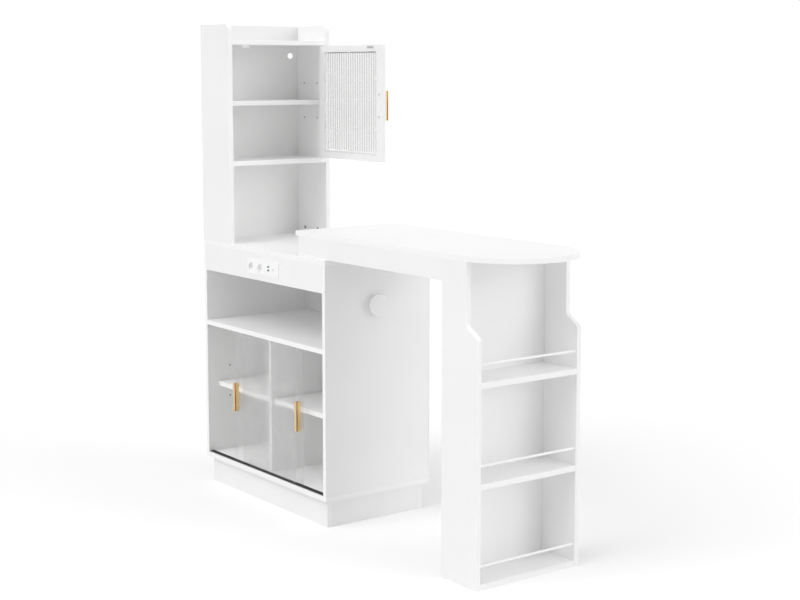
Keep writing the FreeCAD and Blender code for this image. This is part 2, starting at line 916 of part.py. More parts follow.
def leg_side(y_range):
    """A side of the leg: deep below, with a shoulder of two arcs and a slope up to a narrow neck."""
    low, high = y_range
    drop = shoulder_radius * (1 - math.cos(shoulder_turn))
    half_drop = shoulder_radius * (1 - math.cos(shoulder_turn / 2))
    rise = shoulder_radius * math.sin(shoulder_turn)
    half_rise = shoulder_radius * math.sin(shoulder_turn / 2)
    slope_run = leg_front - leg_neck_front - 2 * drop
    slope_rise = slope_run / math.tan(shoulder_turn)
    shoulder_top = shoulder_base + 2 * rise + slope_rise
    foot_back = point(leg_start, low, 0)
    foot_front = point(leg_front, low, 0)
    first_start = point(leg_front, low, shoulder_base)
    first_middle = point(leg_front - half_drop, low, shoulder_base + half_rise)
    first_end = point(leg_front - drop, low, shoulder_base + rise)
    second_start = point(leg_neck_front + drop, low, shoulder_top - rise)
    second_middle = point(leg_neck_front + half_drop, low, shoulder_top - half_rise)
    second_end = point(leg_neck_front, low, shoulder_top)
    neck_front = point(leg_neck_front, low, bar_under)
    neck_back = point(leg_start, low, bar_under)
    edges = [
        line(foot_back, foot_front),
        line(foot_front, first_start),
        arc(first_start, first_middle, first_end),
        line(first_end, second_start),
        arc(second_start, second_middle, second_end),
        line(second_end, neck_front),
        line(neck_front, neck_back),
        line(neck_back, foot_back),
    ]
    return eased_outline(extruded(edges, (high - low) * along_y), along_y)


def rail_places():
    """The x and z of each guard rail, above the bottom board and above both shelves."""
    return [(leg_front - rail_setback, step * leg_shelf_pitch + board + rail_rise) for step in (0, 1, 2)]


def rail_seats(face_y, towards):
    """Blind holes for the ends of the guard rails."""
    return [rod(point(x, face_y, z), towards * along_y, rail_radius + press_gap, rail_seat + press_gap)
            for x, z in rail_places()]


def leg_side_near():
    return leg_side((bar_front, leg_near)).cut(rail_seats(leg_near, -1))


def leg_side_far():
    return leg_side((leg_far, bar_back)).cut(rail_seats(leg_far, 1))


def leg_back():
    return eased_block((leg_start, leg_inner), (leg_near, leg_far), (0, bar_under))


def leg_board(z):
    return eased_block((leg_inner, leg_front), (leg_near, leg_far), (z, z + board))


def leg_bottom():
    return leg_board(0)


def leg_shelf_lower():
    return leg_board(leg_shelf_pitch)


def leg_shelf_upper():
    return leg_board(2 * leg_shelf_pitch)


def guard_rails():
    length = leg_far - leg_near + 2 * rail_seat
    return Part.makeCompound([rod(point(x, leg_near - rail_seat, z), along_y, rail_radius, length)
                              for x, z in rail_places()])


pieces = [
    plinth_front, plinth_back, plinth_left, plinth_right,
    cabinet_bottom, cabinet_side_left, cabinet_side_right, cabinet_top, cabinet_back_sheet,
    fascia, middle_shelf, divider, cabinet_shelf_left, cabinet_shelf_right, cabinet_shelf_brackets,
    bottom_track, top_track,
    sliding_panel_left, panel_handle_left, panel_screws_left,
    sliding_panel_right, panel_handle_right, panel_screws_right,
    outlet_plate, outlet_housing, socket_inserts, usb_module,
    knob_disc, knob_stem,
    hutch_side_near, hutch_side_far, hutch_back_sheet, hutch_roof, hutch_fixed_shelf, hutch_shelf,
    hutch_shelf_brackets, hutch_cams, magnetic_catch, door_pivot_pins,
    door_stile_hinge, door_stile_free, door_rail_top, door_rail_bottom, door_pane, pane_clips,
    door_handle, door_handle_screws, strike_plate,
    bar_top, apron_front, apron_back, apron_end, table_screws,
    leg_side_near, leg_side_far, leg_back, leg_bottom, leg_shelf_lower, leg_shelf_upper, guard_rails,
]

os.makedirs("parts", exist_ok=True)
for piece in pieces:
    moved(piece(), -origin).exportStep(f"parts/{piece.__name__}.step")
print("pieces", len(pieces), "origin", tuple(origin))
print("door pivot", tuple(point(pivot_x, pivot_y, 0) - origin))
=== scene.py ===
import json
import math

import bpy
import numpy as np
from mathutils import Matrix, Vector


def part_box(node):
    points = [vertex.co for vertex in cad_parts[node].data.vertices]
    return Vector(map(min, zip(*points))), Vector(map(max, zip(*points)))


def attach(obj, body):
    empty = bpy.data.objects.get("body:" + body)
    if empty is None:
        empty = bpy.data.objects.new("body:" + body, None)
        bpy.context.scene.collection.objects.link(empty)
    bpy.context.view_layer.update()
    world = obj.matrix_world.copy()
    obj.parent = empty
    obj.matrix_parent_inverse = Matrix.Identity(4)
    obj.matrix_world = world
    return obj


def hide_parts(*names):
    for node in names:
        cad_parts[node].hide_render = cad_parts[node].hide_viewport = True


# The bar table's looks: finishes for every board, pane and fitting, the small fittings that are
# made here as meshes, and a plain white studio. Lengths are metres, and only the fittings are
# drawn in millimetres.

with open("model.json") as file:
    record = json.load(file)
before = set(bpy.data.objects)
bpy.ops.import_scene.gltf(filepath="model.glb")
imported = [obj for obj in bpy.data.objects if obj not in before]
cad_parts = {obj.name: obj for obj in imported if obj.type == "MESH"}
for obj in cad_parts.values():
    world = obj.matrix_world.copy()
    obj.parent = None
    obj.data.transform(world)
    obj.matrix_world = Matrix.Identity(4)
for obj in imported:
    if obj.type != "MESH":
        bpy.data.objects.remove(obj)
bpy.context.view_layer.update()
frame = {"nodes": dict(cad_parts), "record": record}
nodes = frame["nodes"]

MILLIMETRE = 0.001
TURN = 2 * math.pi
BOTH = (-1, 1)

# The bodies that most fittings ride on
CABINET = "cabinet_and_bar"
DOOR = "hutch_door"

# Camera
SENSOR = 36.0
LENS = 69.43
CAMERA_PLACE = Vector((4.3785, -3.1782, 1.6184))
CAMERA_YAW = math.radians(143.460)
CAMERA_PITCH = math.radians(6.723)
CAMERA_SHIFT = -0.06

# Studio light. Each soft box is a direction, a strength and the power that narrows it.
DOME_LIGHT = 0.22
SOFT_BOXES = (
    ((-0.05, -0.75, 0.66), 3.62, 12.0),
    ((0.85, 0.45, 0.25), 3.10, 12.0),
    ((0.0, 0.0, 1.0), 1.08, 4.0),
)
DIFFUSE_BOUNCES = 12
FLOOR_GLOW = 0.20
FLOOR_SIZE = 60.0

# The side grooves of the handles, as distances behind a handle's front, and the heights above its
# middle between which the stronger painted shade in their lower part fades out
GROOVE_FROM = 2.0 * MILLIMETRE
GROOVE_TO = 6.4 * MILLIMETRE
GROOVE_BLUR = 0.4 * MILLIMETRE
PAINTED_SHADE_FROM = 12 * MILLIMETRE
PAINTED_SHADE_TO = 28 * MILLIMETRE

# The door pane is clearer near its edges: where that begins to fade, where it ends, and how much
# of the bent light is left at the very edge
EDGE_FROM = 5.0 * MILLIMETRE
SIDE_EDGE_TO = 34.0 * MILLIMETRE
LOW_EDGE_TO = 16.0 * MILLIMETRE
EDGE_SHARE = 0.12

# The scale of a noise along x, y and z: alike in all, drawn out along x, and drawn out along z
EVEN = (1.0, 1.0, 1.0)
DRAWN_ALONG_X = (0.02, 1.0, 1.0)
DRAWN_ALONG_Z = (1.0, 1.0, 0.03)
RING_PITCH = 1.7 * MILLIMETRE

# Colours of the finishes
WHITE = (1.0, 1.0, 1.0)
FLOOR_COLOUR = (0.80, 0.80, 0.80)
BOARD_COLOUR = (0.9130, 0.9130, 0.9122)
# Painted highlight of the boards' narrow faces
PAINTED_BAND_HIGHLIGHT = (0.944, 0.944, 0.943)
SHEET_COLOUR = (0.870, 0.870, 0.868)
FRAME_COLOUR = (0.904, 0.904, 0.903)
KNOB_COLOUR = (0.934, 0.934, 0.933)
RAIL_COLOUR = (0.955, 0.956, 0.957)
STEEL_COLOUR = (0.62, 0.62, 0.63)
ZINC_COLOUR = (0.24, 0.24, 0.25)
GOLD_COLOUR = (0.78, 0.54, 0.275)
# Painted shade in the handles' grooves
PAINTED_SHADE_COLOUR = (0.20, 0.115, 0.045)
# Painted highlight on the handles' flanks
PAINTED_FLANK_HIGHLIGHT = (1.00, 0.78, 0.42)
TRACK_COLOUR = (0.030, 0.030, 0.031)
DUST_COLOUR = (0.20, 0.20, 0.20)
OUTLET_COLOUR = (0.950, 0.952, 0.954)
CATCH_COLOUR = (0.950, 0.950, 0.948)
CLIP_COLOUR = (0.880, 0.885, 0.880)
PANE_COLOUR = (0.945, 0.946, 0.943)
CONTACT_COLOUR = (0.62, 0.43, 0.20)
STRIKE_COLOUR = (0.60, 0.60, 0.61)
PORT_COLOUR = (0.018, 0.018, 0.020)
LENS_COLOUR = (0.42, 0.43, 0.45)

# Where the part's own drawing starts, in millimetres from the frame's origin. The places and sizes
# of the fittings that follow are millimetres of that drawing.
DRAWING_START = np.array((-47.0, -224.375, 0.0))

# The gap under anything that lies on a face
SEAT_GAP = 0.01

# Spare bracket holes: the inner face of each side and the way into its board, the places of the
# holes along it, the height of the hole with the bracket, and the pitch to the spare ones
CABINET_SIDES = ((-830.0, -1), (-18.0, 1))
CABINET_HOLE_Y = (99.0, 395.0)
CABINET_BRACKET_Z = 394.0
CABINET_PITCH = 61.0
HUTCH_SIDES = ((18.0, -1), (439.0, 1))
HUTCH_HOLE_X = (-705.0, -797.5)
HUTCH_BRACKET_Z = 1499.0
HUTCH_PITCH = 68.0

# Bracket hole sleeves
SLEEVE_RADIUS = 2.5
SLEEVE_DEPTH = 7.9
SLEEVE_WALL = 0.35
FLANGE_RADIUS = 3.4
FLANGE_HEIGHT = 0.35

# Screws: the plain heads that they take the place of, how much lower the new heads are, how far
# the screws stand from the middle or the corners of their set, and how long they are
HANDLE_HEAD = 2.0
TABLE_HEAD = 2.5
HEAD_SLACK = 0.05
HEAD_RADIUS = 3.95
SHANK_RADIUS = 1.95
HANDLE_SCREW_REACH = 42.0
TABLE_SCREW_INSET = 4.0
STRIKE_SCREW_REACH = 14.6
DOOR_SHANK = 25.0
PANEL_SHANK = 11.0
TABLE_SHANK = 43.0

# Outlet: the sockets with the sleeves of their pin holes, and the lamp
SOCKET_X = (-489.0, -427.0)
SOCKET_Z = 889.0
PIN_REACH = 9.5
PIN_MOUTH = 7.5
PIN_RADIUS = 2.55
PIN_DEPTH = 3.4
PIN_WALL = 0.22
PIN_LIP = 0.2
LAMP_MIDDLE = (-335.5, -1.5, 894.0)
LAMP_RADIUS = 3.45
LAMP_HEIGHT = 0.75
LAMP_DROP = 0.35

# Charging ports. Each of their pieces is a half width, a half height, a front and a back.
PORT_X = -368.5
PORT_Z = (889.0, 902.0)
PORT_SHELL = (6.45, 2.7, -2.4, 7.4)
PORT_BACK = (6.0, 2.3, 6.6, 7.4)
PORT_TONGUE = (5.45, 1.2, -1.75, 6.7)
PORT_CONTACT = (0.55, 0.11, -1.3, 4.0)
CONTACT_STEPS = (-1.5, -0.5, 0.5, 1.5)
CONTACT_PITCH = 2.4
CONTACT_DROP = 1.21

# Magnetic catch: its front, the roof that it hangs from, its middle, and how far from that its
# plates stand. A plate and the magnet's case are a half width, how far they go back from the front
# and stand proud of it, and how far their foot and their top are under the roof.
CATCH_FRONT = -662.5
CATCH_ROOF = 1714.0
CATCH_MIDDLE = 90.0
PLATE_REACH = 5.0
CATCH_PLATE = (0.5, 5.0, 0.3, 9.3, 1.7)
CATCH_CASE = (4.4, 4.0, 0.08, 9.0, 2.0)

# How finely round corners are cut, and how sharp an edge has to be to stay sharp
CORNER_STEPS = 4
RIM_STEPS = 3
SHARP_FROM = math.radians(35)


class Value:
    """A socket of a finish. The usual operators on it add Math nodes."""

    def __init__(self, finish, socket):
        self.finish = finish
        self.socket = socket

    def maths(self, operation, *others, clamp=False):
        links = dict(enumerate((self,) + others))
        return self.finish.node("Math", {"operation": operation, "use_clamp": clamp}, links)

    def __add__(self, other):
        return self.maths("ADD", other)

    def __sub__(self, other):
        return self.maths("SUBTRACT", other)

    def __mul__(self, other):
        return self.maths("MULTIPLY", other)

    def __rsub__(self, other):
        return self.finish.node("Math", {"operation": "SUBTRACT"}, {0: other, 1: self})

    def __abs__(self):
        return self.maths("ABSOLUTE")

    __radd__ = __add__

    def sine(self):
        return self.maths("SINE")

    def power(self, exponent):
        return self.maths("POWER", exponent)

    def clamped(self):
        return self.maths("ADD", 0.0, clamp=True)

    def step(self, low, high):
        """0 below low, 1 above high and a smooth rise between them."""
        return self.finish.node("MapRange", {"interpolation_type": "SMOOTHSTEP"},
                                {"Value": self, "From Min": low, "From Max": high})


class Finish:
    """A material, or a world, and its node tree."""

    def __init__(self, name, kind="Material"):
        made_in = bpy.data.worlds if kind == "World" else bpy.data.materials
        self.material = made_in.new(name)
        self.material.use_nodes = True
        self.tree = self.material.node_tree
        self.tree.nodes.clear()
        self.output = self.tree.nodes.new("ShaderNodeOutput" + kind)

    def node(self, kind, settings=None, links=None, out=0):
        """Add a node: its settings, then the value or link of each socket. Gives one output."""
        node = self.tree.nodes.new("ShaderNode" + kind)
        for key, value in (settings or {}).items():
            setattr(node, key, value)
        for key, value in (links or {}).items():
            socket = node.inputs[key]
            if isinstance(value, Value):
                self.tree.links.new(value.socket, socket)
            elif socket.type == "RGBA":
                socket.default_value = (*value, 1.0)
            else:
                socket.default_value = value
        return Value(self, node.outputs[out])

    def parts(self, vector):
        """The x, y and z of a vector."""
        split = self.node("SeparateXYZ", {}, {0: vector}).socket.node
        return tuple(Value(self, output) for output in split.outputs)

    def normal(self, axis):
        """How far the surface faces along an axis of its own object, from -1 to 1."""
        return self.parts(self.node("TexCoord", out="Normal"))[axis]

    def place(self, scale=EVEN, centre=(0.0, 0.0, 0.0)):
        """Object coordinates, measured from the centre and then scaled."""
        coordinates = self.node("TexCoord", out="Object")
        moved = self.node("VectorMath", {"operation": "SUBTRACT"}, {0: coordinates, 1: centre})
        return self.node("VectorMath", {"operation": "MULTIPLY"}, {0: moved, 1: scale})

    def noise(self, size, detail=3.0, stretch=EVEN, roughness=0.5):
        """Soft noise from 0 to 1 whose patches are about the given size."""
        return self.node("TexNoise", {}, {"Vector": self.place(stretch), "Scale": 1.0 / size,
                                          "Detail": detail, "Roughness": roughness})

    def mix(self, share, first, second):
        """A colour that goes from the first to the second as the share rises."""
        return self.node("Mix", {"data_type": "RGBA"}, {0: share, 6: first, 7: second}, out=2)

    def tints(self, share, colour, first, second):
        """The same, between two tints of one colour."""
        return self.mix(share, tinted(colour, first), tinted(colour, second))

    def bump(self, height, strength, distance):
        """The surface's direction under a relief whose full height is the distance."""
        return self.node("Bump", {}, {"Height": height, "Strength": strength,
                                      "Distance": distance})

    def show(self, shader):
        """Put a shader on the output. Gives the material, which is then complete."""
        self.tree.links.new(shader.socket, self.output.inputs["Surface"])
        return self.material

    def surface(self, **links):
        """Show the Principled shader, with its sockets given by name."""
        named = {key.replace("_", " "): value for key, value in links.items()}
        return self.show(self.node("BsdfPrincipled", {}, named))


def tinted(colour, factor):
    return tuple(min(1.0, part * factor) for part in colour)


def box_middle(node):
    """The low corner, the high corner and the middle of a node's box."""
    low, high = (np.array(corner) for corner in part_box(node))
    return low, high, (low + high) / 2


def board_finish(name, face_axis):
    """White faced board. Its two broad faces have a fine orange peel and faint cloudiness. The
    narrow faces carry an edge band of a finer grain, which is painted slightly brighter as a
    painted highlight, and the eased edges are worn."""
    finish = Finish(name)
    facing = abs(finish.normal(face_axis))
    on_band = 1.0 - facing.step(0.25, 0.75)
    on_edge = facing.step(0.08, 0.45) * (1.0 - facing.step(0.80, 0.995))
    clouds = finish.noise(0.23, detail=4.0)
    specks = finish.noise(0.0035, detail=2.0)
    rubbing = finish.noise(0.018, detail=5.0, roughness=0.65)
    peel = finish.noise(0.0016, detail=1.5)
    fibre = finish.noise(0.0009, detail=2.0)
    worn = on_edge * rubbing.step(0.42, 0.70)
    body = finish.tints(clouds.step(0.30, 0.72), BOARD_COLOUR, 0.988, 1.008)
    body = finish.mix(specks.step(0.58, 0.74) * 0.5, body, tinted(BOARD_COLOUR, 0.975))
    # Painted highlight: the edge band on the narrow faces is painted brighter than the board.
    body = finish.mix(on_band, body, PAINTED_BAND_HIGHLIGHT)
    body = finish.mix(worn * 0.35, body, tinted(BOARD_COLOUR, 0.93))
    return finish.surface(
        Base_Color=body, IOR=1.46,
        Roughness=0.40 + clouds * 0.07 + specks * 0.05 + worn * 0.16 - on_band * 0.06,
        Normal=finish.bump(peel * (1.0 - on_band) + fibre * on_band, strength=0.22,
                           distance=0.05 * MILLIMETRE))


def sheet_finish():
    """Thin back sheet: paper faced hardboard, a little greyer than the boards, with a fibre
    mottle."""
    finish = Finish("white_back_sheet")
    mottle = finish.noise(0.004, detail=5.0, roughness=0.7)
    clouds = finish.noise(0.16)
    body = finish.tints(mottle.step(0.35, 0.65), SHEET_COLOUR, 0.975, 1.01)
    body = finish.mix(clouds.step(0.4, 0.8) * 0.4, body, tinted(SHEET_COLOUR, 0.965))
    return finish.surface(
        Base_Color=body, Roughness=0.55 + mottle * 0.12, IOR=1.45,
        Normal=finish.bump(mottle, strength=0.30, distance=0.06 * MILLIMETRE))


def lacquer_finish(name, colour, relief=None):
    """Sprayed white lacquer over wood: a soft orange peel and faint specks of dust. The relief,
    where given, is a height added to the peel, such as the rings of a turned piece."""
    finish = Finish(name)
    peel = finish.noise(0.0024, detail=2.0)
    dust = finish.noise(0.0012, detail=1.0).step(0.70, 0.80)
    clouds = finish.noise(0.09)
    body = finish.tints(clouds.step(0.3, 0.7), colour, 0.985, 1.008)
    body = finish.mix(dust * 0.3, body, tinted(colour, 0.93))
    height = peel * 0.5 + relief(finish) if relief else peel
    return finish.surface(
        Base_Color=body, Roughness=0.36 + clouds * 0.08 + dust * 0.1, IOR=1.47,
        Coat_Weight=0.15, Coat_Roughness=0.18,
        Normal=finish.bump(height, strength=0.25, distance=0.06 * MILLIMETRE))


def turned_rings(finish):
    """The rings that a lathe leaves round the knob's axis, which runs along x."""
    _, _, middle = box_middle("knob_disc")
    _, y, z = finish.parts(finish.place(centre=tuple(middle)))
    radius = (y * y + z * z).power(0.5)
    return (radius * (TURN / RING_PITCH)).sine() * 0.2 + finish.noise(0.002) * 0.2


def powder_finish():
    """Powder coated steel: a fine, even, slightly glossy grain."""
    finish = Finish("white_steel")
    grain = finish.noise(0.0011, detail=2.0)
    body = finish.tints(grain.step(0.35, 0.70), RAIL_COLOUR, 0.97, 1.01)
    return finish.surface(
        Base_Color=body, Roughness=0.36 + grain * 0.12, IOR=1.5, Coat_Weight=0.1,
        Normal=finish.bump(grain, strength=0.35, distance=0.06 * MILLIMETRE))


def brushed(finish, colour, stretch, darker, paler):
    """What all metals share: the colour with its brush marks and stains, the marks themselves,
    and the roughness that both add. The stretch of the marks' noise gives their direction."""
    marks = finish.noise(0.0011, stretch=stretch, roughness=0.6)
    stain = finish.noise(0.012, detail=4.0)
    body = finish.tints(marks.step(0.30, 0.72), colour, darker, paler)
    body = finish.mix(stain.step(0.52, 0.80) * 0.30, body, tinted(colour, 0.85))
    return body, marks, marks * 0.12 + stain * 0.06


def metal_surface(finish, body, marks, roughness):
    return finish.surface(
        Base_Color=body, Metallic=1.0, Roughness=roughness,
        Normal=finish.bump(marks, strength=0.28, distance=0.03 * MILLIMETRE))


def metal_finish(name, colour, roughness, stretch=EVEN, tone=0.12):
    """Drawn or plated metal. The tone is how much darker it gets between its brush marks."""
    finish = Finish(name)
    body, marks, rough = brushed(finish, colour, stretch, 1.0 - tone, 1.0 + tone / 2)
    return metal_surface(finish, body, marks, rough + roughness)


def handle_finish(node, front_is_low):
    """Brushed gold on one bar handle. Its side grooves, a few millimetres behind its front, are
    painted browner, most of all in their lower part. This is painted shade, standing in for the
    shade and dark reflections in them. The flanks behind them are painted paler, a painted
    highlight standing in for their bright reflection."""
    low, high, middle = box_middle(node)
    front = (low if front_is_low else high)[1]
    finish = Finish("brushed_gold_" + node)
    body, marks, rough = brushed(finish, GOLD_COLOUR, DRAWN_ALONG_Z, 0.90, 1.06)
    _, behind, up = finish.parts(finish.place(centre=(middle[0], front, middle[2])))
    behind = abs(behind)
    on_side = abs(finish.normal(0)).step(0.3, 0.7)
    past_groove = behind.step(GROOVE_TO, GROOVE_TO + GROOVE_BLUR)
    groove = on_side * behind.step(GROOVE_FROM - GROOVE_BLUR, GROOVE_FROM) * (1.0 - past_groove)
    low_part = 1.0 - up.step(PAINTED_SHADE_FROM, PAINTED_SHADE_TO)
    # Painted highlight: the flanks behind the grooves are painted paler, for the bright reflection
    # they show.
    body = finish.mix(on_side * past_groove * 0.8, body, PAINTED_FLANK_HIGHLIGHT)
    # Painted shade: the grooves are painted dark brown, most in their lower part, for the shade and
    # dark reflections in them.
    body = finish.mix(groove * (low_part * 0.48 + 0.16), body, PAINTED_SHADE_COLOUR)
    return metal_surface(finish, body, marks, rough + groove * 0.2 + 0.24)


def track_finish():
    """Black extruded plastic with fine lines along its length, and grey dust on its upper
    lips."""
    finish = Finish("black_track")
    lines = finish.noise(0.0009, detail=2.0, stretch=DRAWN_ALONG_X)
    dust = finish.noise(0.006, detail=5.0, roughness=0.7)
    upward = finish.normal(2).step(0.6, 0.95)
    body = finish.tints(lines, TRACK_COLOUR, 0.8, 1.4)
    body = finish.mix(upward * dust.step(0.45, 0.75) * 0.35, body, DUST_COLOUR)
    return finish.surface(
        Base_Color=body, Roughness=0.34 + lines * 0.14 + dust * 0.08, IOR=1.49,
        Normal=finish.bump(lines, strength=0.4, distance=0.05 * MILLIMETRE))


def plastic_finish(name, colour, roughness=0.30):
    """Moulded plastic: a fine spark-eroded grain and a soft change of gloss."""
    finish = Finish(name)
    spark = finish.noise(0.0007, detail=2.0)
    flow = finish.noise(0.03)
    body = finish.tints(flow.step(0.3, 0.7), colour, 0.985, 1.006)
    body = finish.mix(spark.step(0.60, 0.78) * 0.35, body, tinted(colour, 0.955))
    return finish.surface(
        Base_Color=body, Roughness=roughness + spark * 0.10 + flow * 0.05, IOR=1.50,
        Normal=finish.bump(spark, strength=0.18, distance=0.03 * MILLIMETRE))


def pane_finish(name, haze, valley_haze, shade, valley_painted_shade, clear_edges_of=None):
    """Clear fluted acrylic. A part of the light goes straight through and the rest is bent by the
    flutes. In the valleys, where the surface leans most, the sheet is painted greyer, a painted
    shade for the darker lines that the bent light makes there, and shows as fine upright lines.
    Smudges and fine dust make it slightly less clear in places. Where a node is named, the sheet is
    clearer along that node's lower edge and along its side at the hinge, where it lies on the white
    frame and light passes straight to it."""
    finish = Finish(name)
    lean = abs(finish.normal(0))
    valley = lean.step(0.09, 0.14) * (1.0 - lean.step(0.4, 0.6))
    smudge = finish.noise(0.05, detail=4.0)
    dust = finish.noise(0.0009, detail=1.0).step(0.66, 0.80)
    body = finish.tints(smudge.step(0.3, 0.7), PANE_COLOUR, 0.985 * shade, 1.01 * shade)
    # Painted shade: the valleys are painted greyer to draw the flutes' dark lines.
    body = finish.mix(valley, body, tinted(PANE_COLOUR, valley_painted_shade))
    bent = smudge.step(0.45, 0.8) * 0.04 + dust * 0.08 + valley * valley_haze + haze
    if clear_edges_of:
        low, _, _ = box_middle(clear_edges_of)
        x, _, z = finish.parts(finish.place(centre=tuple(low)))
        inside = x.step(EDGE_FROM, SIDE_EDGE_TO) * z.step(EDGE_FROM, LOW_EDGE_TO)
        bent = bent * (inside * (1.0 - EDGE_SHARE) + EDGE_SHARE)
    return finish.surface(Base_Color=body, Transmission_Weight=1.0, IOR=1.49,
                          Roughness=dust * 0.15, Alpha=bent)


def lens_finish():
    """The smoky lens of the outlet's lamp, faintly clouded."""
    finish = Finish("lamp_lens")
    cloud = finish.noise(0.004, detail=2.0)
    body = finish.tints(cloud, LENS_COLOUR, 0.8, 1.4)
    return finish.surface(
        Base_Color=body, Roughness=0.12 + cloud * 0.05, Coat_Weight=0.4,
        Normal=finish.bump(cloud, strength=0.05, distance=0.02 * MILLIMETRE))


def finishes():
    """One finish for each of the record's slots, apart from the boards' slot."""
    return {
        "white_back_sheet": sheet_finish(),
        "white_door_frame": lacquer_finish("white_door_frame", FRAME_COLOUR),
        "white_knob": lacquer_finish("white_knob", KNOB_COLOUR, relief=turned_rings),
        "white_steel": powder_finish(),
        "bare_steel": metal_finish("bare_steel", STEEL_COLOUR, roughness=0.26),
        "dark_zinc": metal_finish("dark_zinc", ZINC_COLOUR, roughness=0.42, tone=0.2),
        "brushed_gold": metal_finish("brushed_gold", GOLD_COLOUR, roughness=0.24,
                                     stretch=DRAWN_ALONG_Z),
        "black_track": track_finish(),
        "outlet_plastic": plastic_finish("outlet_plastic", OUTLET_COLOUR),
        "catch_plastic": plastic_finish("catch_plastic", CATCH_COLOUR, roughness=0.42),
        "clip_plastic": plastic_finish("clip_plastic", CLIP_COLOUR, roughness=0.36),
        "fluted_clear": pane_finish("fluted_clear", haze=0.11, valley_haze=0.16, shade=1.0,
                                    valley_painted_shade=0.74),
    }


def thin_axis(node):
    """The axis along which a board is thinnest."""
    low, high, _ = box_middle(node)
    return int(np.argmin(high - low))


def dress(node, material):
    slots = nodes[node].data.materials
    slots.clear()
    slots.append(material)


def dress_all():
    """Give every CAD node its finish: first by the record's material slots, where a board's
    finish goes by the axis that it faces, and then the few nodes that have one of their own."""
    boards = [board_finish("white_board_" + axis, index) for index, axis in enumerate("xyz")]
    by_slot = finishes()
    for subpart in frame["record"]["subparts"]:
        slot = subpart["material_slot"]
        node = subpart["node"]
        dress(node, boards[thin_axis(node)] if slot == "white_board" else by_slot[slot])
    dress("door_pane", pane_finish("fluted_door", haze=0.82, valley_haze=0.0, shade=0.94,
                                   valley_painted_shade=0.70, clear_edges_of="door_pane"))
    dress("strike_plate", metal_finish("strike_steel", STRIKE_COLOUR, roughness=0.40, tone=0.2))
    for node in ("panel_handle_left", "panel_handle_right"):
        dress(node, handle_finish(node, front_is_low=True))
    dress("door_handle", handle_finish("door_handle", front_is_low=False))
    return by_slot


def at(x, y, z):
    """A point of the part's own drawing, given in millimetres, as metres in the frame."""
    return (np.array((x, y, z)) + DRAWING_START) * MILLIMETRE


def outward(points, faces):
    """The same surface with its faces turned outwards. The volume is a sum over fans of
    tetrahedra from the origin to each face, and it is positive where the faces point outwards."""
    volume = 0.0
    for face in faces:
        first = points[face[0]]
        for second, third in zip(face[1:-1], face[2:]):
            volume += np.dot(first, np.cross(points[second], points[third]))
    return points, faces if volume > 0 else [tuple(reversed(face)) for face in faces]


def axes_about(axis):
    """Two unit vectors that are square to the axis and to each other."""
    side = np.cross(axis, (0.0, 0.0, 1.0) if abs(axis[2]) < 0.9 else (1.0, 0.0, 0.0))
    side /= np.linalg.norm(side)
    return side, np.cross(axis, side)


def turned(profile, start, axis, sides, sink=None):
    """A closed turned shape. Its profile goes from the axis back to the axis, as radius and
    height in millimetres, and the point at angle t is
    start + height * axis + radius * (side * cos t + up * sin t).
    sink, where given, is a depth at each radius and angle, which is taken from the height of the
    points whose third value is 1."""
    axis = np.array(axis, float)
    side, up = axes_about(axis)
    profile = np.array(profile, float)
    rim = profile[1:-1]
    angle = np.arange(sides) * TURN / sides
    radius = rim[:, :1] + 0 * angle
    height = rim[:, 1:2] + 0 * angle
    ends = profile[[0, -1], 1]
    if sink is not None:
        height = height - sink(radius, angle + 0 * radius) * rim[:, 2:]
        ends = ends - sink(np.zeros(2), np.zeros(2)) * profile[[0, -1], 2]
    ring = side * np.cos(angle)[:, None] + up * np.sin(angle)[:, None]
    points = radius[:, :, None] * ring + height[:, :, None] * axis
    points = np.concatenate((points.reshape(-1, 3), ends[:, None] * axis))
    rows = len(rim)
    first, last = rows * sides, rows * sides + 1
    faces = []
    for step in range(sides):
        after = (step + 1) % sides
        faces.append((first, step, after))
        faces.append((last, (rows - 1) * sides + after, (rows - 1) * sides + step))
        for row in range(rows - 1):
            low, high = row * sides, (row + 1) * sides
            faces.append((low + step, high + step, high + after, low + after))
    return outward(points * MILLIMETRE + np.array(start), faces)


def outline(half_width, half_depth, corner, draw):
    """The corner points of a rectangle with round corners that is drawn in by a distance. A
    corner's point at angle t is its centre + (corner - draw) * (sin t, cos t)."""
    turn = np.linspace(0.0, TURN / 4, CORNER_STEPS)
    return [(across * (half_width - corner + (corner - draw) * math.sin(t)),
             along * (half_depth - corner + (corner - draw) * math.cos(t)))
            for across, along in ((1, 1), (1, -1), (-1, -1), (-1, 1))
            for t in (turn if across != along else turn[::-1])]


def middle_and_half(low, high):
    low, high = np.array(low, float), np.array(high, float)
    return (low + high) / 2, (high - low) / 2


def rounded_block(low, high, corner):
    """A closed block with round corners along z and softened rims, between two drawn corners in
    millimetres. Its outline is carried up in layers that draw in near both ends by the corner's
    quarter sine."""
    middle, half = middle_and_half(low, high)
    rise = np.linspace(0.0, TURN / 4, RIM_STEPS)
    levels = [(-half[2] + corner * (1.0 - math.cos(t)), corner * (1.0 - math.sin(t)))
              for t in rise]
    levels += [(-height, draw) for height, draw in reversed(levels)]
    points = [(x, y, height) for height, draw in levels
              for x, y in outline(half[0], half[1], corner, draw)]
    count = 4 * CORNER_STEPS
    faces = []
    for low_row in range(0, count * (len(levels) - 1), count):
        for step in range(count):
            after = (step + 1) % count
            faces.append((low_row + step, low_row + after,
                          low_row + count + after, low_row + count + step))
    faces.append(tuple(range(count)))
    faces.append(tuple(reversed(range(len(points) - count, len(points)))))
    return outward(at(*middle) + np.array(points) * MILLIMETRE, faces)


